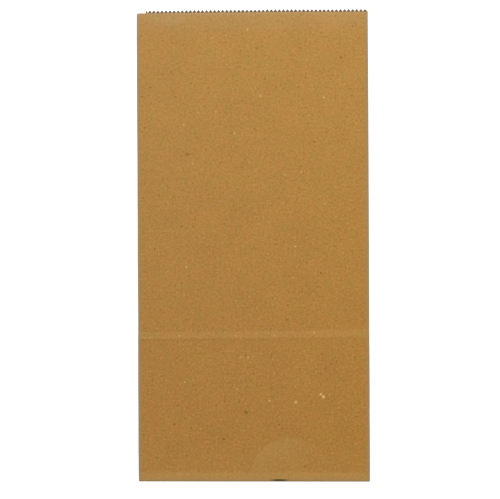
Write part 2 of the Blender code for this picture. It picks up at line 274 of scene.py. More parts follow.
def layer_heights(plan, x, y):
    """The height of all eight layers at a place on the folded bag."""
    stepped = step_share(plan, x, y)
    heights = []
    for layer in range(8):
        low = plan.bottom_level + layer * plan.low_spacing
        high = plan.back_level + (layer - BACK) * plan.high_spacing
        heights.append(low + (high - low) * stepped if layer >= BACK else low)
    heights[FRONT] += front_relief(plan, x, y)
    x = abs(x)

    # The crease where the gusset turns, and the two slanting creases that meet it
    place = Vector((x, y))
    meeting = Vector((plan.gusset_crease, plan.half_depth))
    around = rounded((place - meeting).length, plan.slant_radius)
    corner = Vector((plan.half_width, 0))
    slanted = rounded(distance_to_line(place, meeting, corner), plan.slant_radius)
    middle = (heights[CORNER] + heights[FRONT_GUSSET]) / 2
    for layer in range(CORNER, FRONT_GUSSET + 1):
        share = slanted if layer in (CORNER, FRONT_GUSSET) else around
        heights[layer] = middle + (heights[layer] - middle) * share
    if y > plan.half_depth - SNAP:
        pinch(heights, BACK_GUSSET, FRONT_GUSSET, rounded(x - plan.gusset_crease, plan.fold_radius))
        back_slant = distance_to_line(place, meeting, Vector((plan.half_width, plan.depth)))
        pinch(heights, CORNER, TURNED_GUSSET, rounded(back_slant, plan.fold_radius))

    # The hidden fold half way up the bottom, one hairpin inside another
    middle = (heights[TURNED_GUSSET] + heights[BACK_GUSSET]) / 2
    outer = rounded(y - plan.half_depth, plan.outer_radius)
    inner = rounded(y - plan.half_depth - back_tuck(plan, x), plan.fold_radius)
    for layers, share in (((TURNED_GUSSET, BACK_GUSSET), outer), ((TURNED_BACK, BACK), inner)):
        for layer in layers:
            heights[layer] = middle + (heights[layer] - middle) * share

    # The long folds at the sides, the fold along the top of the bottom, and the bottom fold itself
    for low in (BOTTOM, TURNED_GUSSET, BACK, FRONT_GUSSET):
        pinch(heights, low, low + 1, rounded(plan.half_width - x, plan.fold_radius))
    if y <= plan.depth + SNAP:
        pinch(heights, BOTTOM, TURNED_BACK, rounded(plan.depth - y, plan.outer_radius))
    pinch(heights, BOTTOM, FRONT, bottom_opening(y))
    return heights


# Paper at a knot of folds
PRESSED_REACH = 0.7 * MM
PRESSED_LEAST = 0.2


def pressed(plan, x, y):
    """The share of its thickness that the paper keeps: where four folds meet it is pressed thin."""
    sides = [(plan.half_width, y_knot) for y_knot in (0, plan.half_depth, plan.depth)]
    knots = sides + [(plan.gusset_crease, plan.half_depth)]
    nearest = min(math.hypot(abs(x) - knot_x, y - knot_y) for knot_x, knot_y in knots)
    return PRESSED_LEAST + (1 - PRESSED_LEAST) * min(nearest / PRESSED_REACH, 1.0)


def folded(plan, s, t):
    """Where a point of the blank comes to lie, and in which layer."""
    if t < 0:
        return s, -t, BOTTOM
    side = math.copysign(1, s)
    from_front = abs(s) - plan.half_width
    from_back = plan.depth - from_front
    if from_front <= 0:
        return s, t, FRONT
    if from_back <= 0:
        x = side * (plan.half_width + from_back)
        y, layer = (t, BACK) if t > plan.half_depth else (plan.depth - t, TURNED_BACK)
        near = max(1 - (y - plan.half_depth) / TUCK_REACH, 0.0)
        return x, y + near * back_tuck(plan, x), layer
    if t <= from_front and t <= from_back:
        return side * (plan.half_width - t), from_front, CORNER
    if from_front < plan.half_depth:
        return side * (plan.half_width - from_front), t, FRONT_GUSSET
    x = side * (plan.half_width - from_back)
    return (x, t, BACK_GUSSET) if t > plan.half_depth else (x, plan.depth - t, TURNED_GUSSET)


def even_steps(start, end, count):
    return [start + (end - start) * i / count for i in range(1, count)]


def rectangle(sheet, s_range, t_range):
    """A rectangle of the blank, as one face."""
    (s_low, s_high), (t_low, t_high) = s_range, t_range
    size = Matrix.Diagonal((s_high - s_low, t_high - t_low, 1, 1))
    place = Matrix.Translation(((s_low + s_high) / 2, (t_low + t_high) / 2, 0))
    bmesh.ops.create_grid(sheet, x_segments=1, y_segments=1, size=0.5, matrix=place @ size)


def crease(sheet, faces, point, direction):
    """Cuts these faces along a line, without parting them."""
    geometry = list({part for face in faces for part in (face, *face.edges, *face.verts)})
    normal = Vector((direction[1], -direction[0], 0))
    bmesh.ops.bisect_plane(
        sheet, geom=geometry, dist=SNAP, plane_co=Vector((*point, 0)), plane_no=normal
    )


def layer_of(plan, face):
    centre = face.calc_center_median()
    return folded(plan, centre.x, centre.y)[2]


def tube_faces(sheet):
    return [face for face in sheet.faces if face.calc_center_median().y > 0]


def bottom_faces(sheet):
    return [face for face in sheet.faces if face.calc_center_median().y < 0]


def front_faces(plan, sheet, low, high):
    """The front wall's faces between two heights, clear of its long folds."""
    found = []
    for face in sheet.faces:
        centre = face.calc_center_median()
        if abs(centre.x) < plan.half_width - TUCK_SIDE and low < centre.y < high:
            found.append(face)
    return found


def gusset_corner(plan, sheet, side, at_back, short):
    """The faces of the square in a gusset's lower corner, at the front or the back."""
    found = []
    for face in sheet.faces:
        centre = face.calc_center_median()
        from_front = centre.x * side - plan.half_width
        if not 0 < centre.y < plan.half_depth or not 0 < from_front < plan.depth:
            continue
        lowest = min(corner.co.y for corner in face.verts)
        if (from_front > plan.half_depth) == at_back and (lowest > SNAP or not short):
            found.append(face)
    return found


def line_places(plan):
    """Where the blank's lines run: up the walls, along the gussets and round the tube."""
    bend = [plan.fold_radius * share for share in (0.13, 0.5, 1)]
    wide_bend = bend + [3 * plan.fold_radius, 0.8 * MM, 1.4 * MM, 2.2 * MM, 3.2 * MM, 4.6 * MM, 7 * MM]
    walls = [-plan.half_width, plan.half_width, plan.seam_offset]
    for side_end, count in ((-plan.half_width, 9), (plan.half_width, 6)):
        walls += even_steps(plan.seam_offset, side_end, count)
    walls += [side * (plan.half_width - near) for side in (-1, 1) for near in [*bend, TUCK_SIDE]]
    gussets = [0, plan.depth] + wide_bend + [plan.depth - near for near in [*bend, 3 * plan.fold_radius]]
    gussets += [plan.half_depth + share * plan.fold_radius for share in (-1, -0.4, 0, 0.4, 1)]
    gussets += even_steps(wide_bend[-1], plan.half_depth, 5) + even_steps(plan.half_depth, plan.depth, 6)
    rows = wide_bend + even_steps(wide_bend[-1], plan.half_depth, 6)
    rows += [plan.half_depth + share * plan.fold_radius for share in (-3, -1, 0, 1, 2, 3)]
    step_end = plan.depth + plan.step_start + plan.step_length + MM
    rows += even_steps(plan.half_depth, plan.depth, 8) + [plan.depth]
    rows += even_steps(plan.depth, step_end, 8) + [step_end]
    rows += even_steps(step_end, plan.length, 36) + [plan.length - 1.7 * MM]
    return walls, gussets, rows


def draw_blank(plan, sheet):
    """The flat blank with every crease, and with lines beside them for the bends."""
    rectangle(sheet, (plan.seam - plan.girth, plan.seam), (0, plan.length))
    rectangle(sheet, (-plan.half_width, plan.half_width), (-plan.depth, 0))
    walls, gussets, rows = line_places(plan)
    for x in walls:
        turned = plan.girth / 2 - x
        for s in (x, turned if turned < plan.seam else turned - plan.girth):
            crease(sheet, sheet.faces, (s, 0), (0, 1))
    for from_front in gussets:
        for side in (-1, 1):
            crease(sheet, sheet.faces, (side * (plan.half_width + from_front), 0), (0, 1))
        crease(sheet, bottom_faces(sheet), (0, -from_front), (1, 0))
    for t in rows:
        crease(sheet, tube_faces(sheet), (0, t), (1, 0))

    # The slanting creases of the gussets, and lines beside them that stop short of the bottom's edge
    root = math.sqrt(2)
    for side in (-1, 1):
        for away in (0, -2.5, -1.4, -0.5, 0.5, 1.4, 2.5):
            start = (side * (plan.half_width + away * plan.low_spacing * root), 0)
            crease(sheet, gusset_corner(plan, sheet, side, False, away != 0), start, (side, 1))
        for away in (0, -0.5, 0.5):
            start = (side * (plan.half_width + plan.depth + away * plan.low_spacing * root), 0)
            crease(sheet, gusset_corner(plan, sheet, side, True, away != 0), start, (-side, 1))

    # Closer lines on the front wall, where light rakes over its relief
    fine_rows = even_steps(3 * MM, 8 * MM, 6) + even_steps(plan.depth - 4 * MM, plan.depth + 8 * MM, 34)
    fine_rows += even_steps(plan.length - 12 * MM, plan.length - 2 * MM, 8)
    for t in fine_rows:
        crease(sheet, front_faces(plan, sheet, 2 * MM, plan.length), (0, t), (1, 0))
    for x in even_steps(-plan.half_width + 2 * MM, plan.half_width - 2 * MM, 48):
        crease(sheet, front_faces(plan, sheet, 3.2 * MM, plan.length - 1.7 * MM), (x, 0), (0, 1))


# The knife's cut across the mouth
TOOTH_POINTS = 6
TOOTH_BLUNT = 0.14
TOOTH_WANDER = 0.12 * MM
WANDER_LENGTH = 3 * MM
FRONT_TOOTH = 0.55 * MM
LIP_END = 0.08 * MM
LIP_SHORT = 0.07 * MM
LIP_CORNER = 2.0 * MM
CUT_REACH = 6 * MM

# The plain end at the left, and the cut's fall to the right, as shares of the width
PLAIN_END_DROP = 0.3 * MM
PLAIN_END_ROUND = 0.3 * MM
PLAIN_END_POWER = 6
MOUTH_FALL = 0.3 * MM
FALL_START = 0.55
FALL_LENGTH = 0.35


def tooth_cut(plan, x, layer):
    """How deep the knife cut at a place: blunt teeth that wander a little, shallower on the front."""
    turn = (x - plan.tooth_phase) / plan.tooth_pitch
    share = abs(2 * (turn + (0.5 if layer == BACK else 0)) % 2 - 1)
    depth = plan.tooth_height if layer == BACK else FRONT_TOOTH
    blunt = min(max((share - TOOTH_BLUNT) / (1 - 1.4 * TOOTH_BLUNT), 0.0), 1.0)
    wander = TOOTH_WANDER * noise.noise(Vector((x / WANDER_LENGTH, 1.0 if layer == BACK else 5.0, 0.4)))
    return depth * blunt + wander * eased((plan.half_width - abs(x)) / (2 * MM))


def mouth_height(plan, x, layer):
    """How far up the blank the knife cut a wall, at a place across the flattened bag."""
    cut = max(tooth_cut(plan, x, layer), 0.0)
    from_left = x + plan.half_width
    from_right = plan.width - from_left
    height = plan.length - MOUTH_FALL * eased((from_left / plan.width - FALL_START) / FALL_LENGTH)
    if layer == BACK and from_left >= plan.lip_left:
        toothed = eased((from_right - plan.lip_right) / MM)
        corner = min(from_right / LIP_CORNER, 1.0)
        return height + (plan.lip - LIP_SHORT) * corner - cut * toothed
    if from_left < plan.lip_left:
        rounding = PLAIN_END_ROUND * (1 - from_left / plan.lip_left) ** PLAIN_END_POWER
        return plan.length - PLAIN_END_DROP - rounding
    return height - cut


def on_mouth(plan, edge):
    return min(corner.co.y for corner in edge.verts) > plan.length - SNAP


def cut_mouth(plan, sheet):
    """Gives the top edge of the blank its teeth, all plies cut at once by one toothed knife."""
    count = math.ceil(plan.half_width / plan.tooth_pitch * TOOTH_POINTS) + 1
    places = [plan.tooth_phase + i * plan.tooth_pitch / TOOTH_POINTS for i in range(-count, count + 1)]
    left = plan.lip_left - plan.half_width
    places += [left, left - LIP_END]
    places += [plan.half_width - plan.lip_right * share for share in (0.3, 0.7, 1.1, 1.5)]
    edges = [edge for edge in sheet.edges if on_mouth(plan, edge)]
    for x in places:
        if abs(x) >= plan.half_width:
            continue
        side = math.copysign(1, x)
        columns = [x, plan.girth / 2 - x, -plan.girth / 2 - x]
        if abs(x) > plan.gusset_crease:
            columns += [side * plan.width - x, side * plan.depth + x]
        for s in columns:
            near = [edge for edge in edges
                    if min(abs(corner.co.x - s) for corner in edge.verts) < CUT_REACH]
            geometry = near + list({corner for edge in near for corner in edge.verts})
            cut = bmesh.ops.bisect_plane(
                sheet, geom=geometry, dist=SNAP, plane_co=(s, 0, 0), plane_no=(1, 0, 0)
            )
            known = set(near)
            edges += [part for part in cut["geom"] if isinstance(part, bmesh.types.BMEdge)
                      and part not in known]
    for corner in sheet.verts:
        if corner.co.y > plan.length - SNAP:
            x, _, layer = folded(plan, corner.co.x, corner.co.y)
            corner.co.y = mouth_height(plan, x, layer)


# How the long folds stand out past the blank's width: evenly, in a bow and in waves of two lengths
FOLD_PROUD = 0.13 * MM
FOLD_BOW = 0.09 * MM
FOLD_WANDER = 0.1 * MM
FOLD_WAVES = (55 * MM, 17 * MM)
FOLD_EASE = (8 * MM, 20 * MM)


def sprung(plan, x, y):
    """How far the long folds spring out or in along the sides, as the gussets push on them."""
    side = 1 if x > 0 else -1
    share = eased((abs(x) - plan.gusset_crease) / plan.half_depth)
    ends = eased(y / FOLD_EASE[0]) * eased((plan.length - y) / FOLD_EASE[1])
    wave = noise.noise(Vector((side * 3.1, y / FOLD_WAVES[0], 0.2)))
    wave += 0.5 * noise.noise(Vector((side, y / FOLD_WAVES[1], 0.7)))
    return side * share * (FOLD_PROUD + FOLD_BOW * ends + FOLD_WANDER * ends * wave)


# How far the inner skin and the pasted plies are moved on the blank's map, clear of the front's marks
INNER_SHIFT = 1.0
PLY_CLEAR = 1.0


def keep_blank_places(sheet, clear=0.0):
    """Writes the blank's own coordinates to a map that the paper's pattern follows, this far down it."""
    places = sheet.loops.layers.uv.new("blank")
    for face in sheet.faces:
        for loop in face.loops:
            loop[places].uv = loop.vert.co.xy - Vector((0, clear))


def fold_up(plan, sheet):
    """Moves each point of the blank to its folded place and joins the edges that meet."""
    places = {}
    layers = {face: layer_of(plan, face) for face in sheet.faces}
    for corner in sheet.verts:
        x, y, _ = folded(plan, corner.co.x, corner.co.y)
        levels = layer_heights(plan, x, y)
        own = {layers[face] for face in corner.link_faces}
        height = sum(levels[layer] for layer in own) / len(own)
        places[corner] = (x + sprung(plan, x, y), y, height)
    for corner, place in places.items():
        corner.co = place
    bmesh.ops.remove_doubles(sheet, verts=sheet.verts, dist=SNAP)


def thicken(plan, sheet):
    """Makes the folded surface into paper: an outer and an inner skin, joined round the mouth."""
    sheet.normal_update()
    halves = {}
    for corner in sheet.verts:
        share = pressed(plan, corner.co.x, corner.co.y)
        halves[corner] = corner.normal * plan.paper / 2 * share
    copied = bmesh.ops.duplicate(sheet, geom=sheet.verts[:] + sheet.edges[:] + sheet.faces[:])
    inner_of = copied["vert_map"]
    inner_faces = [part for part in copied["geom"] if isinstance(part, bmesh.types.BMFace)]
    for corner, half in halves.items():
        inner_of[corner].co -= half
        corner.co += half
    bmesh.ops.reverse_faces(sheet, faces=inner_faces)
    places = sheet.loops.layers.uv["blank"]
    for face in inner_faces:
        for loop in face.loops:
            loop[places].uv.x += INNER_SHIFT
    rims = [edge for edge in sheet.edges if edge.is_boundary]
    rim_faces = set(bmesh.ops.bridge_loops(sheet, edges=rims)["faces"])
    for face in rim_faces:
        for loop in face.loops:
            beside = next(other for other in loop.vert.link_loops if other.face not in rim_faces)
            loop[places].uv = beside[places].uv
    bmesh.ops.triangulate(sheet, faces=sheet.faces)


def finish_piece(plan, name, sheet, sharp_angle):
    """Makes an object of a mesh drawn on the folded bag, in the bag's own place."""
    bmesh.ops.translate(sheet, verts=sheet.verts, vec=(0, -plan.middle, 0))
    mesh = bpy.data.meshes.new(name)
    sheet.to_mesh(mesh)
    sheet.free()
    mesh.shade_smooth()
    mesh.set_sharp_from_angle(angle=sharp_angle)
    mesh.materials.append(bpy.data.materials["recycled_paper"])
    piece = bpy.data.objects.new(name, mesh)
    bpy.context.scene.collection.objects.link(piece)
    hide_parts(BAG_NODE)
    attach(piece, "root")


class MESH_OT_lunch_bag_sheet(bpy.types.Operator):
    """Draws the blank, cuts its teeth, folds it and gives it its thickness."""

    bl_idname = "mesh.lunch_bag_sheet"
    bl_label = "Fold the Bag"

    def execute(self, context):
        plan = bag_plan(context.scene.lunch_bag_sizes)
        sheet = bmesh.new()
        draw_blank(plan, sheet)
        cut_mouth(plan, sheet)
        bmesh.ops.triangulate(sheet, faces=sheet.faces)
        keep_blank_places(sheet)
        fold_up(plan, sheet)
        thicken(plan, sheet)
        finish_piece(plan, "folded_bag", sheet, math.radians(50))
        return {"FINISHED"}


# The pasted plies, which reach a little into the paper they are pasted to
PLY_GRIP = 0.04 * MM
FLAP_INSET = 1.0 * MM
FLAP_TOOTH_POINTS = 4
FLAP_ROWS = 12
LAP_CELLS = (4, 60)
LAP_WANDER = 0.25 * MM


def put_in_order(sheet):
    """Orders a mesh's parts by their place, because solidify leaves them in a new order on each run."""
    for parts, place_of in (
        (sheet.verts, lambda corner: corner.co),
        (sheet.edges, lambda edge: edge.verts[0].co + edge.verts[1].co),
        (sheet.faces, lambda face: face.calc_center_median()),
    ):
        for index, part in enumerate(sorted(parts, key=lambda part: tuple(place_of(part)))):
            part.index = index
        parts.sort()


def pasted_ply(outline, cells, level, thickness):
    """A pasted ply under the bag: a grid pulled to its outline, then thickened."""
    u_count, v_count = cells
    ply = bmesh.new()
    bmesh.ops.create_grid(ply, x_segments=u_count, y_segments=v_count, size=0.5)
    for corner in ply.verts:
        x, y = outline(corner.co.x + 0.5, corner.co.y + 0.5)
        corner.co = (x, y, level)
    faces = ply.faces[:]
    bmesh.ops.recalc_face_normals(ply, faces=faces)
    if faces[0].normal.z > 0:
        bmesh.ops.reverse_faces(ply, faces=faces)
    bmesh.ops.solidify(ply, geom=faces, thickness=thickness)
    bmesh.ops.recalc_face_normals(ply, faces=ply.faces)
    put_in_order(ply)
    keep_blank_places(ply, PLY_CLEAR)
    return ply


class MESH_OT_lunch_bag_flaps(bpy.types.Operator):
    """Adds the two pasted flaps under the bottom, the outer one with its toothed edge."""

    bl_idname = "mesh.lunch_bag_flaps"
    bl_label = "Paste the Bottom Flaps"

    def execute(self, context):
        plan = bag_plan(context.scene.lunch_bag_sizes)
        teeth = round(2 * (plan.half_width - plan.flap_length) / plan.tooth_pitch)
        columns = teeth * FLAP_TOOTH_POINTS

        def flap_outline(at_back):
            def outline(across, along):
                reach = FLAP_INSET + (plan.flap_length - FLAP_INSET) * along
                half = plan.half_width - FLAP_INSET - reach
                tooth = abs(2 * (across * teeth % 1) - 1) * along
                reach -= plan.tooth_height * tooth
                y = plan.depth - reach if at_back else reach
                return (2 * across - 1) * half, y
            return outline

        bottom_face = plan.bottom_level - plan.paper / 2
        for name, at_back, level in (("inner_flap", False, 1), ("outer_flap", True, 0)):
            low = level * plan.paper
            thickness = bottom_face + PLY_GRIP - low
            flap = pasted_ply(flap_outline(at_back), (columns, FLAP_ROWS), low, thickness)
            finish_piece(plan, name, flap, math.radians(30))
        return {"FINISHED"}


class MESH_OT_lunch_bag_seam(bpy.types.Operator):
    """Adds the pasted lap that runs up the back wall."""

    bl_idname = "mesh.lunch_bag_seam"
    bl_label = "Paste the Back Lap"

    def execute(self, context):
        plan = bag_plan(context.scene.lunch_bag_sizes)
        start = plan.depth + plan.step_start + plan.step_length + MM
        end = plan.length - plan.tooth_height

        def outline(across, along):
            wander = LAP_WANDER * noise.noise(Vector((0.3, along * 6, 0)))
            x = plan.seam_offset + (across - 0.5) * plan.seam_lap + wander
            return x, start + (end - start) * along

        thickness = plan.back_level - plan.paper / 2 + PLY_GRIP
        lap = pasted_ply(outline, LAP_CELLS, 0.0, thickness)
        finish_piece(plan, "back_lap", lap, math.radians(30))
        return {"FINISHED"}


def new_group(name, inputs, outputs):
    """An empty shader group with named sockets, and its input and output nodes."""
    group = bpy.data.node_groups.new(name, "ShaderNodeTree")
    for socket_name, kind, default in inputs:
        socket = group.interface.new_socket(socket_name, in_out="INPUT", socket_type=kind)
        if default is not None:
            socket.default_value = default
    for socket_name, kind in outputs:
        group.interface.new_socket(socket_name, in_out="OUTPUT", socket_type=kind)
    return group, group.nodes.new("NodeGroupInput"), group.nodes.new("NodeGroupOutput")


def feed(tree, socket, value):
    """Links an output to a socket, or sets the socket to a plain value."""
    if isinstance(value, bpy.types.NodeSocket):
        tree.links.new(value, socket)
    elif value is not None:
        socket.default_value = value


def math_node(tree, operation, *values, clamp=False):
    made = tree.nodes.new("ShaderNodeMath")
    made.operation = operation
    made.use_clamp = clamp
    for socket, value in zip(made.inputs, values):
        feed(tree, socket, value)
    return made.outputs[0]


def scaled(tree, value, share):
    return math_node(tree, "MULTIPLY", value, share)


def strongest(tree, first, *others):
    """The greatest of some masks."""
    for other in others:
        first = math_node(tree, "MAXIMUM", first, other)
    return first


def new_vector(tree, operation, first, second):
    """Vector arithmetic. To scale, the second value is a plain number or a number's socket."""
    made = tree.nodes.new("ShaderNodeVectorMath")
    made.operation = operation
    feed(tree, made.inputs[0], first)
    feed(tree, made.inputs["Scale"] if operation == "SCALE" else made.inputs[1], second)
    return made.outputs[0]


def vector_length(tree, vector):
    made = tree.nodes.new("ShaderNodeVectorMath")
    made.operation = "LENGTH"
    feed(tree, made.inputs[0], vector)
    return made.outputs["Value"]


def ramp_between(tree, value, low, high):
    """0 up to low, 1 from high on, and eased between them. High may be the smaller one."""
    made = tree.nodes.new("ShaderNodeMapRange")
    made.interpolation_type = "SMOOTHSTEP"
    feed(tree, made.inputs["Value"], value)
    flipped = isinstance(low, float) and isinstance(high, float) and low > high
    feed(tree, made.inputs["From Min"], high if flipped else low)
    feed(tree, made.inputs["From Max"], low if flipped else high)
    made.inputs["To Min"].default_value = 1.0 if flipped else 0.0
    made.inputs["To Max"].default_value = 0.0 if flipped else 1.0
    return made.outputs["Result"]


def mix_colour(tree, share, first, second):
    made = tree.nodes.new("ShaderNodeMix")
    made.data_type = "RGBA"
    feed(tree, made.inputs[0], share)
    feed(tree, made.inputs[6], first)
    feed(tree, made.inputs[7], second)
    return made.outputs[2]


def noise_at(tree, place, scale, detail=2.0, roughness=0.5, stretch=None):
    """Noise between about 0.3 and 0.7, with features 1 / scale metres across."""
    if stretch is not None:
        mapping = tree.nodes.new("ShaderNodeMapping")
        mapping.vector_type = "TEXTURE"
        feed(tree, mapping.inputs["Vector"], place)
        mapping.inputs["Rotation"].default_value = (0, 0, stretch[0])
        mapping.inputs["Scale"].default_value = (stretch[1], 1, 1)
        place = mapping.outputs[0]
    made = tree.nodes.new("ShaderNodeTexNoise")
    feed(tree, made.inputs["Vector"], place)
    made.inputs["Scale"].default_value = scale
    made.inputs["Detail"].default_value = detail
    made.inputs["Roughness"].default_value = roughness
    return made.outputs["Fac"]


def fleck_group():
    """Flecks scattered one to a cell, each of its own size, and only in some of the cells."""
    group, given, out = new_group(
        "Scattered Flecks",
        [("Place", "NodeSocketVector", None), ("Cells per Metre", "NodeSocketFloat", 100.0),
         ("Radius", "NodeSocketFloat", 0.05), ("Share of Cells", "NodeSocketFloat", 0.5)],
        [("Mask", "NodeSocketFloat")],
    )
    cells = group.nodes.new("ShaderNodeTexVoronoi")
    cells.voronoi_dimensions = "2D"
    cells.feature = "F1"
    feed(group, cells.inputs["Vector"], given.outputs["Place"])
    feed(group, cells.inputs["Scale"], given.outputs["Cells per Metre"])
    chance = group.nodes.new("ShaderNodeSeparateColor")
    feed(group, chance.inputs[0], cells.outputs["Color"])
    size = math_node(group, "MULTIPLY_ADD", chance.outputs[1], 0.9, 0.35)
    radius = math_node(group, "MULTIPLY", given.outputs["Radius"], size)
    edge = math_node(group, "SUBTRACT", radius, cells.outputs["Distance"])
    soft = math_node(group, "DIVIDE", edge, radius)
    inside = math_node(group, "MULTIPLY", soft, 1.6, clamp=True)
    present = math_node(group, "LESS_THAN", chance.outputs[0], given.outputs["Share of Cells"])
    feed(group, out.inputs["Mask"], math_node(group, "MULTIPLY", inside, present))
    return group


def mark_group():
    """One mark at a given place: an oval with soft edges."""
    group, given, out = new_group(
        "Single Mark",
        [("Place", "NodeSocketVector", None), ("Centre", "NodeSocketVector", None),
         ("Half Size", "NodeSocketVector", (1.0, 1.0, 1.0)), ("Turn", "NodeSocketFloat", 0.0)],
        [("Mask", "NodeSocketFloat")],
    )
    away = new_vector(group, "SUBTRACT", given.outputs["Place"], given.outputs["Centre"])
    turned = group.nodes.new("ShaderNodeVectorRotate")
    turned.rotation_type = "Z_AXIS"
    feed(group, turned.inputs["Vector"], away)
    feed(group, turned.inputs["Angle"], given.outputs["Turn"])
    share = new_vector(group, "DIVIDE", turned.outputs[0], given.outputs["Half Size"])
    feed(group, out.inputs["Mask"], ramp_between(group, vector_length(group, share), 1.0, 0.25))
    return group


def use_group(tree, group, **values):
    """Places a group, with its inputs given by name in small letters."""
    made = tree.nodes.new("ShaderNodeGroup")
    made.node_tree = group
    for socket in made.inputs:
        feed(tree, socket, values.get(socket.name.lower().replace(" ", "_")))
    return made.outputs[0]


# Marks on the front wall: across and up from its bottom left corner and half sizes, all in millimetres,
# then turn and strength
PALE_MARKS = (
    (102.9, 49.3, 1.2, 0.85, 2.3, 1.0),
    (104.4, 47.9, 1.35, 1.2, 0.9, 1.0),
    (88.9, 44.9, 1.35, 1.3, 0, 0.6),
    (74.1, 45.7, 0.75, 0.75, 0, 0.9),
    (26.3, 56.2, 0.75, 0.75, 0, 0.55),
    (57.9, 70.2, 0.85, 0.85, 0, 0.45),
    (62.0, 70.3, 0.75, 0.75, 0, 0.5),
    (23.3, 82.3, 0.95, 0.9, 0, 0.35),
    (99.4, 83.9, 0.95, 0.9, 0, 0.35),
    (27.3, 121.4, 0.8, 0.8, 0, 0.5),
    (89.0, 132.7, 0.8, 0.8, 0, 0.75),
    (105.8, 156.9, 0.95, 0.95, 0, 0.35),
    (83.6, 173.0, 0.75, 0.75, 0, 0.5),
    (92.6, 174.5, 0.75, 0.75, 0, 0.5),
    (31.4, 179.8, 0.75, 0.75, 0, 0.6),
    (54.8, 196.7, 0.75, 0.9, 0.4, 0.6),
    (26.2, 201.6, 0.8, 0.8, 0, 0.6),
    (105.4, 216.5, 0.8, 0.8, 0, 0.7),
    (69.7, 217.6, 0.8, 0.8, 0, 0.7),
    (62.6, 255.2, 0.6, 1.7, 0, 0.5),
)
DARK_MARKS = (
    (94.0, 8.5, 0.9, 0.7, 2.4, 0.75),
    (48.1, 24.2, 1.05, 1.0, 0, 1.0),
    (29.6, 30.3, 0.75, 0.8, 0, 0.65),
    (20.4, 32.4, 0.9, 0.9, 0, 0.75),
    (79.2, 32.3, 0.8, 0.8, 0, 0.75),
    (26.2, 35.7, 0.8, 0.75, 0, 0.6),
    (60.8, 39.2, 1.9, 1.6, 0.5, 0.75),
    (108.8, 66.1, 0.75, 0.7, 0, 0.65),
    (56.0, 66.9, 0.8, 0.7, 0, 0.5),
    (83.9, 91.3, 0.9, 0.9, 0, 0.7),
    (28.9, 116.0, 0.7, 0.7, 0, 0.7),
    (9.5, 131.6, 0.8, 0.9, 0, 0.7),
    (24.8, 144.2, 0.9, 0.9, 0, 0.8),
    (28.2, 185.0, 2.0, 1.3, 0.3, 0.6),
    (100.0, 191.3, 0.65, 0.65, 0, 1.0),
    (7.5, 222.9, 0.75, 0.8, 0, 0.7),
    (72.4, 227.2, 0.8, 0.75, 0, 0.65),
    (114.9, 238.9, 0.85, 0.65, 0, 1.0),
    (121.7, 256.6, 0.8, 0.75, 0, 0.7),
)
# A painted shadow where the bottom fold gapes open, given like the marks
GAPE_SHADOW = (79.5, 0.9, 7.0, 0.85, 0, 1.0)
# A patch of painted sheen where the mouth's left corner lifts towards the light
MOUTH_PATCH = (17.0, 262.5, 24.0, 8.0, 0, 0.24)

# The pale half round: its middle, across and up, and its radius, in millimetres
THUMB_PATCH = (86.0, 0.7, 25.0)
THUMB_RIM = 2 * MM
THUMB_MIDDLE = 4 * MM
THUMB_FADE = (12 * MM, -4 * MM)
THUMB_STRENGTH = 0.17

# Scattered flecks: cells to a metre, radius and share of the cells that hold one, then strength
DARK_FLECKS = ((110.0, 0.06, 0.3, 0.75), (260.0, 0.11, 0.35, 0.16))
PALE_FLECKS = ((95.0, 0.045, 0.14, 0.55), (240.0, 0.1, 0.25, 0.12))

# Cloudy patches, and a finer mottle over them
NOISE_MIDDLE = 0.5
CLOUD_SCALE = 150
CLOUD_REACH = 0.18
MOTTLE_SCALE = 55
MOTTLE_DEPTH = 0.16

# Slow change in red, green and blue: its change to the right, its change to the mouth, which is a painted
# sheen that makes the paper lighter and paler towards the mouth, and its middle
DRIFT_ACROSS = (0.013, 0.008, -0.06)
SHEEN_UP = (0.055, 0.11, 0.2)
DRIFT_MIDDLE = (1.003, 1.012, 0.95)

# Noises in the pulp: scale, detail, roughness, turn and stretch of its fibres, and share of the whole
PULP_NOISES = (
    (780, 2.0, 0.6, None, 0.62),
    (300, 2.0, 0.5, None, 0.1),
    (1500, 1.0, 0.5, (0.5, 4.0), 0.14),
    (1400, 1.0, 0.5, (2.2, 4.0), 0.14),
)
PULP_REACH = 0.2
PULP_STRENGTH = 0.58
ROUGHNESS = (0.9, 0.74)
ROUGHNESS_REACH = 0.14
BUMP_STRENGTH = 0.35
BUMP_DISTANCE = 0.05 * MM

# Bands beside an edge: how far in each starts and where it is full, in millimetres, and its strength. The
# side and bottom bands are painted shade with rub, the bottom line is painted shade, the bead and mouth bands
# are painted sheen, the low band is paler towards the bottom and the lip band is painted shade
SIDE_SHADE_AND_RUB = (2.4, -0.1, 0.85)
BOTTOM_SHADE_AND_RUB = (2.6, -0.1, 0.55)
BOTTOM_SHADE_LINE = (0.9, 0.1, 0.22)
BEAD_SHEEN = (6.6, 4.0, 0.25)
LOW_PALING = (26, 8, 0.05)
MOUTH_RIM_SHEEN = (3.2, 0.2, 0.5)
MOUTH_BAND = (16, 1, 0.17)
LIP_SHADE = (9, 1, 1.0)

# The band of painted sheen at the step and the line of painted shade below it, up from the bottom's top fold.
# They tilt a little
STEP_TILT = 0.0082
STEP_LOW = (1.5 * MM, 2.3 * MM)
STEP_HIGH = (6.4 * MM, 4.6 * MM)
STEP_STRENGTH = 0.11
STEP_SHADE_LOW = (-0.4 * MM, 0.9 * MM)
STEP_SHADE_STRENGTH = 0.08


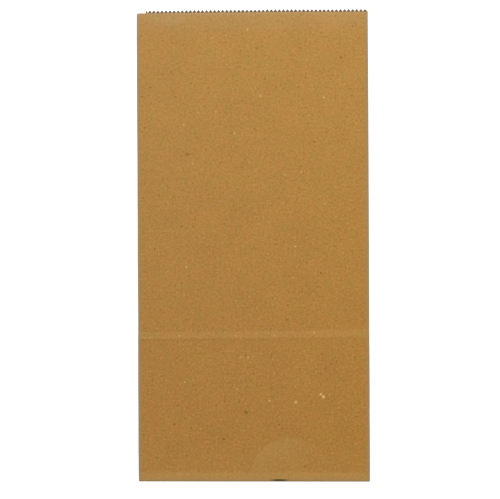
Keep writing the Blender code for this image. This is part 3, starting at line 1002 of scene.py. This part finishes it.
def paper_places(tree, plan):
    """Where a point lies: on the blank, on the folded bag, and from the bag's edges."""
    coordinates = tree.nodes.new("ShaderNodeTexCoord")
    axes = tree.nodes.new("ShaderNodeSeparateXYZ")
    feed(tree, axes.inputs[0], coordinates.outputs["Object"])
    x, y = axes.outputs[0], axes.outputs[1]
    blank = tree.nodes.new("ShaderNodeUVMap")
    blank.uv_map = "blank"
    blank_axes = tree.nodes.new("ShaderNodeSeparateXYZ")
    feed(tree, blank_axes.inputs[0], blank.outputs["UV"])
    return types.SimpleNamespace(
        x=x, y=y, blank=blank.outputs["UV"], s=blank_axes.outputs[0], t=blank_axes.outputs[1],
        from_side=math_node(tree, "SUBTRACT", plan.half_width, math_node(tree, "ABSOLUTE", x)),
        from_bottom=math_node(tree, "ADD", y, plan.middle),
        from_mouth=math_node(tree, "SUBTRACT", plan.length - plan.middle, y),
    )


def marks_mask(tree, plan, group, at, marks):
    """All the marks of one kind, each as strong as it is given."""
    masks = []
    for across, up, half_x, half_y, turn, strength in marks:
        mask = use_group(
            tree, group, place=at.blank, turn=turn,
            centre=(across * MM - plan.half_width, up * MM, 0),
            half_size=(half_x * MM, half_y * MM, 1.0),
        )
        masks.append(scaled(tree, mask, strength))
    return strongest(tree, *masks)


def fleck_mask(tree, group, at, flecks):
    """Scattered flecks of one kind."""
    cells, radius, share, strength = flecks
    mask = use_group(
        tree, group, place=at.blank, cells_per_metre=cells, radius=radius, share_of_cells=share
    )
    return scaled(tree, mask, strength)


def thumb_mask(tree, plan, at):
    """A pale half round at the bottom, strongest at its rim and fading to the right."""
    across, up, radius = (value * MM for value in THUMB_PATCH)
    middle = across - plan.half_width
    distance = vector_length(tree, new_vector(tree, "SUBTRACT", at.blank, (middle, up, 0)))
    rim = ramp_between(tree, distance, radius, radius - THUMB_RIM)
    inner = ramp_between(tree, distance, THUMB_MIDDLE, radius)
    inner = math_node(tree, "MULTIPLY_ADD", inner, 0.4, 0.6)
    fade = ramp_between(tree, at.s, middle + THUMB_FADE[0], middle + THUMB_FADE[1])
    fade = math_node(tree, "MULTIPLY_ADD", fade, 0.55, 0.45)
    return scaled(tree, scaled(tree, scaled(tree, rim, inner), fade), THUMB_STRENGTH)


def edge_mask(tree, distance, band):
    """A mask that grows towards an edge."""
    start, full, strength = band
    return scaled(tree, ramp_between(tree, distance, start * MM, full * MM), strength)


def clouded(tree, plan, at, colours):
    """Ruddy and olive patches, a drift across the bag, a painted sheen that lightens and pales it up the bag,
    and the mottle.
    """
    cloud = noise_at(tree, at.blank, CLOUD_SCALE, detail=3.0)
    ruddy = ramp_between(tree, cloud, NOISE_MIDDLE, NOISE_MIDDLE + CLOUD_REACH)
    green = ramp_between(tree, cloud, NOISE_MIDDLE, NOISE_MIDDLE - CLOUD_REACH)
    colour = mix_colour(tree, ruddy, colours.paper, colours.warm)
    colour = mix_colour(tree, green, colour, colours.olive)
    drift = new_vector(tree, "SCALE", DRIFT_ACROSS, math_node(tree, "DIVIDE", at.x, plan.half_width))
    # Painted sheen: lighter and paler towards the mouth
    rise = new_vector(tree, "SCALE", SHEEN_UP, math_node(tree, "DIVIDE", at.y, plan.middle))
    drift = new_vector(tree, "ADD", new_vector(tree, "ADD", drift, rise), DRIFT_MIDDLE)
    colour = new_vector(tree, "MULTIPLY", colour, drift)
    mottle = noise_at(tree, at.blank, MOTTLE_SCALE)
    mottle = math_node(tree, "MULTIPLY_ADD", mottle, MOTTLE_DEPTH, 1 - MOTTLE_DEPTH / 2)
    return new_vector(tree, "SCALE", colour, mottle)


def pulp_texture(tree, at):
    """Grain of the pulp, fine and coarse, and fibres lying in two directions."""
    total = 0.0
    for scale, detail, roughness, stretch, share in PULP_NOISES:
        part = scaled(tree, noise_at(tree, at.blank, scale, detail, roughness, stretch), share)
        total = math_node(tree, "ADD", total, part)
    return total


def painted_light_and_wear(tree, plan, mark, at, colours, colour):
    """Painted light and wear: painted sheen at the step, the bead and the mouth, a paler bottom and a pale
    half round, painted shade with rub along the folds, painted shadow in the bottom fold's gape and painted
    shade on the cut lip.
    """
    from_step = math_node(tree, "MULTIPLY_ADD", at.x, -STEP_TILT, at.t)
    step_low, step_high, step_shade_low = (
        ramp_between(tree, from_step, plan.depth + start, plan.depth + end)
        for start, end in (STEP_LOW, STEP_HIGH, STEP_SHADE_LOW)
    )
    # A line of painted shade below the step, where the paper rises to it, in the dark fleck colour
    step_shade = scaled(tree, step_shade_low, math_node(tree, "SUBTRACT", 1.0, step_low))
    colour = mix_colour(tree, scaled(tree, step_shade, STEP_SHADE_STRENGTH), colour, colours.dark_fleck_and_shade)
    # Painted sheen on the step and on the bead behind the bottom fold, with the paler bottom and the pale
    # half round
    folds = strongest(
        tree,
        scaled(tree, scaled(tree, step_low, step_high), STEP_STRENGTH),
        edge_mask(tree, at.from_bottom, BEAD_SHEEN),
        edge_mask(tree, at.from_bottom, LOW_PALING),
        thumb_mask(tree, plan, at),
    )
    # Greyer along the side and bottom folds: painted shade of their rounding, with rub
    rims = strongest(
        tree, edge_mask(tree, at.from_side, SIDE_SHADE_AND_RUB), edge_mask(tree, at.from_bottom, BOTTOM_SHADE_AND_RUB)
    )
    # Painted sheen along the front's cut edge, towards the mouth and on the lifted left corner
    mouth = strongest(
        tree,
        edge_mask(tree, at.from_mouth, MOUTH_RIM_SHEEN),
        edge_mask(tree, at.from_mouth, MOUTH_BAND),
        marks_mask(tree, plan, mark, at, (MOUTH_PATCH,)),
    )
    # Painted shadow in the gap of the bottom fold, and a thin line of painted shade along the bottom edge
    gape_shadow = strongest(
        tree, marks_mask(tree, plan, mark, at, (GAPE_SHADOW,)), edge_mask(tree, at.from_bottom, BOTTOM_SHADE_LINE)
    )
    # Painted shade on the inside of the back wall near the mouth, which darkens its teeth
    inner = math_node(tree, "GREATER_THAN", at.s, INNER_SHIFT / 2)
    lip = scaled(tree, edge_mask(tree, at.from_mouth, LIP_SHADE), inner)
    for mask, second in (
        (folds, colours.sheen_and_paling), (rims, colours.fold_shade_and_rub), (mouth, colours.mouth_sheen),
        (gape_shadow, colours.crease_shadow), (lip, colours.lip_shade_colour),
    ):
        colour = mix_colour(tree, mask, colour, second)
    return colour


def brown_paper(plan, colours):
    """Recycled paper: cloudy, fibrous and flecked, with painted shade and rub along its folds, painted sheen
    at the step and the mouth, and painted shade on its cut lip.
    """
    material = bpy.data.materials.new("recycled_paper")
    material.use_nodes = True
    tree = material.node_tree
    shader = tree.nodes["Principled BSDF"]
    shader.inputs["Metallic"].default_value = 0.0
    shader.inputs["Specular IOR Level"].default_value = 0.3

    at = paper_places(tree, plan)
    colour = clouded(tree, plan, at, colours)
    texture = pulp_texture(tree, at)
    for reach, pulp in ((-PULP_REACH, colours.dense_pulp), (PULP_REACH, colours.thin_pulp)):
        mask = ramp_between(tree, texture, NOISE_MIDDLE, NOISE_MIDDLE + reach)
        colour = mix_colour(tree, scaled(tree, mask, PULP_STRENGTH), colour, pulp)

    # Flecks of bark and of bleached fibre
    flecks, mark = fleck_group(), mark_group()
    for kinds, marks, fleck in (
        (DARK_FLECKS, DARK_MARKS, colours.dark_fleck_and_shade), (PALE_FLECKS, PALE_MARKS, colours.pale_fleck),
    ):
        masks = [fleck_mask(tree, flecks, at, kind) for kind in kinds]
        masks.append(marks_mask(tree, plan, mark, at, marks))
        colour = mix_colour(tree, strongest(tree, *masks), colour, fleck)
    feed(tree, shader.inputs["Base Color"], painted_light_and_wear(tree, plan, mark, at, colours, colour))

    # A dry, fibrous surface
    light = ramp_between(tree, texture, NOISE_MIDDLE - ROUGHNESS_REACH, NOISE_MIDDLE + ROUGHNESS_REACH)
    roughness = tree.nodes.new("ShaderNodeMapRange")
    feed(tree, roughness.inputs["Value"], light)
    roughness.inputs["To Min"].default_value, roughness.inputs["To Max"].default_value = ROUGHNESS
    feed(tree, shader.inputs["Roughness"], roughness.outputs["Result"])
    bump = tree.nodes.new("ShaderNodeBump")
    bump.inputs["Strength"].default_value = BUMP_STRENGTH
    bump.inputs["Distance"].default_value = BUMP_DISTANCE
    feed(tree, bump.inputs["Height"], texture)
    feed(tree, shader.inputs["Normal"], bump.outputs["Normal"])


class MATERIAL_OT_lunch_bag_paper(bpy.types.Operator):
    """Makes the brown paper."""

    bl_idname = "material.lunch_bag_paper"
    bl_label = "Make the Paper"

    def execute(self, context):
        given = context.scene.lunch_bag_paper
        colours = {name: tuple(getattr(given, name)) for name in given.__annotations__}
        brown_paper(bag_plan(context.scene.lunch_bag_sizes), types.SimpleNamespace(**colours))
        return {"FINISHED"}


# The studio: a white floor, two lamps and a camera that looks down
FLOOR_SIZE = 6.0
FLOOR_GLOW = 0.94
FLOOR_COLOUR = (0.3, 0.3, 0.3, 1)
KEY_PLACE = (0.2, 0.75, 0.95)
KEY_SIZE = 0.5
FILL_PLACE = (-0.3, -1.0, 0.9)
FILL_SIZE = 0.7
LAMP_TARGET = (0, 0, 0)
CAMERA_ASIDE = (0.05006, 0.00042)
CAMERA_TURN = (-0.00273, 0.04709, -0.00479)
CAMERA_LENS = 140.24
CAMERA_SENSOR = 36


def white_floor():
    """Seen by the camera and in reflections it glows white, and it keeps a soft shadow."""
    material = bpy.data.materials.new("white_floor")
    material.use_nodes = True
    tree = material.node_tree
    tree.nodes.clear()
    path = tree.nodes.new("ShaderNodeLightPath")
    seen = math_node(tree, "MAXIMUM", path.outputs["Is Camera Ray"], path.outputs["Is Glossy Ray"])
    seen = math_node(tree, "MAXIMUM", seen, path.outputs["Is Transmission Ray"])
    glow = tree.nodes.new("ShaderNodeEmission")
    feed(tree, glow.inputs["Strength"], math_node(tree, "MULTIPLY", seen, FLOOR_GLOW))
    matt = tree.nodes.new("ShaderNodeBsdfDiffuse")
    matt.inputs["Color"].default_value = FLOOR_COLOUR
    both = tree.nodes.new("ShaderNodeAddShader")
    out = tree.nodes.new("ShaderNodeOutputMaterial")
    feed(tree, both.inputs[0], glow.outputs[0])
    feed(tree, both.inputs[1], matt.outputs[0])
    feed(tree, out.inputs["Surface"], both.outputs[0])
    return material


def area_lamp(name, place, size, power):
    lamp = bpy.data.lights.new(name, "AREA")
    lamp.shape = "DISK"
    lamp.size = size
    lamp.energy = power
    holder = bpy.data.objects.new(name, lamp)
    holder.location = place
    holder.rotation_euler = (Vector(LAMP_TARGET) - Vector(place)).to_track_quat("-Z", "Y").to_euler()
    bpy.context.scene.collection.objects.link(holder)


class SCENE_OT_lunch_bag_stage(bpy.types.Operator):
    """Sets the white floor, the lamps and the camera that looks straight down."""

    bl_idname = "scene.lunch_bag_stage"
    bl_label = "Set the Stage"

    def execute(self, context):
        scene = context.scene
        studio = scene.lunch_bag_studio
        board = bmesh.new()
        bmesh.ops.create_grid(board, x_segments=1, y_segments=1, size=FLOOR_SIZE / 2)
        mesh = bpy.data.meshes.new("floor")
        board.to_mesh(mesh)
        board.free()
        mesh.materials.append(white_floor())
        floor = bpy.data.objects.new("floor", mesh)
        scene.collection.objects.link(floor)

        area_lamp("key_lamp", KEY_PLACE, KEY_SIZE, studio.key_power)
        area_lamp("fill_lamp", FILL_PLACE, FILL_SIZE, studio.fill_power)
        world = bpy.data.worlds.new("even_light")
        world.use_nodes = True
        background = world.node_tree.nodes["Background"]
        background.inputs["Color"].default_value = (1, 1, 1, 1)
        background.inputs["Strength"].default_value = studio.sky
        scene.world = world

        lens = bpy.data.cameras.new("camera")
        lens.lens = CAMERA_LENS
        lens.sensor_width = CAMERA_SENSOR
        camera = bpy.data.objects.new("camera", lens)
        camera.location = (*CAMERA_ASIDE, studio.camera_height)
        camera.rotation_euler = CAMERA_TURN
        scene.collection.objects.link(camera)
        scene.camera = camera
        scene.view_settings.view_transform = "Standard"
        return {"FINISHED"}


class VIEW3D_PT_lunch_bag(bpy.types.Panel):
    """Lists the bag's settings and its steps."""

    bl_label = "Paper Lunch Bag"
    bl_space_type = "VIEW_3D"
    bl_region_type = "UI"
    bl_category = "Lunch Bag"

    def draw(self, context):
        scene = context.scene
        for settings in (scene.lunch_bag_sizes, scene.lunch_bag_paper, scene.lunch_bag_studio):
            box = self.layout.box()
            for name in settings.__annotations__:
                box.prop(settings, name)
        for step in STEPS:
            self.layout.operator(step.bl_idname)


SETTINGS = {
    "lunch_bag_sizes": LunchBagSizes,
    "lunch_bag_paper": LunchBagPaper,
    "lunch_bag_studio": LunchBagStudio,
}
STEPS = (
    MATERIAL_OT_lunch_bag_paper,
    MESH_OT_lunch_bag_sheet,
    MESH_OT_lunch_bag_flaps,
    MESH_OT_lunch_bag_seam,
    SCENE_OT_lunch_bag_stage,
)


def register():
    for made in (*SETTINGS.values(), *STEPS, VIEW3D_PT_lunch_bag):
        bpy.utils.register_class(made)
    for name, group in SETTINGS.items():
        setattr(bpy.types.Scene, name, PointerProperty(type=group))


def unregister():
    for name in SETTINGS:
        delattr(bpy.types.Scene, name)
    for made in (VIEW3D_PT_lunch_bag, *reversed(STEPS), *reversed(SETTINGS.values())):
        bpy.utils.unregister_class(made)


def main():
    register()
    bpy.ops.material.lunch_bag_paper()
    bpy.ops.mesh.lunch_bag_sheet()
    bpy.ops.mesh.lunch_bag_flaps()
    bpy.ops.mesh.lunch_bag_seam()
    bpy.ops.scene.lunch_bag_stage()


if __name__ == "__main__":
    main()
